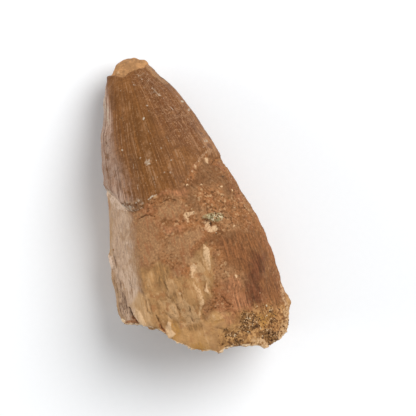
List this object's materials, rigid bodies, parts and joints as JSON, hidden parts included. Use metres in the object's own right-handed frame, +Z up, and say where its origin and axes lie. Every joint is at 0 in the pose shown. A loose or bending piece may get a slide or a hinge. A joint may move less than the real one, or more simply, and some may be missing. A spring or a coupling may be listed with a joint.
{
  "type": "fossil mosasaur tooth",
  "caption": "Fossil mosasaur tooth crown on the stump of its root, with a chipped tip and a broken base, lying on its side.",
  "frame": {"origin": "middle of the tooth's plan, on the surface that it lies on", "axes": "+Y from the broken root to the tip, +X to the right seen from above, +Z up from the surface"},
  "size_m": [0.027, 0.05, 0.0194],
  "materials": {
    "fossil": "brown mineralised enamel and dentine, satin on the crown and matt and sandy on the root"
  },
  "bodies": {
    "root": {"tooth": "fossil"}
  },
  "joints": []
}
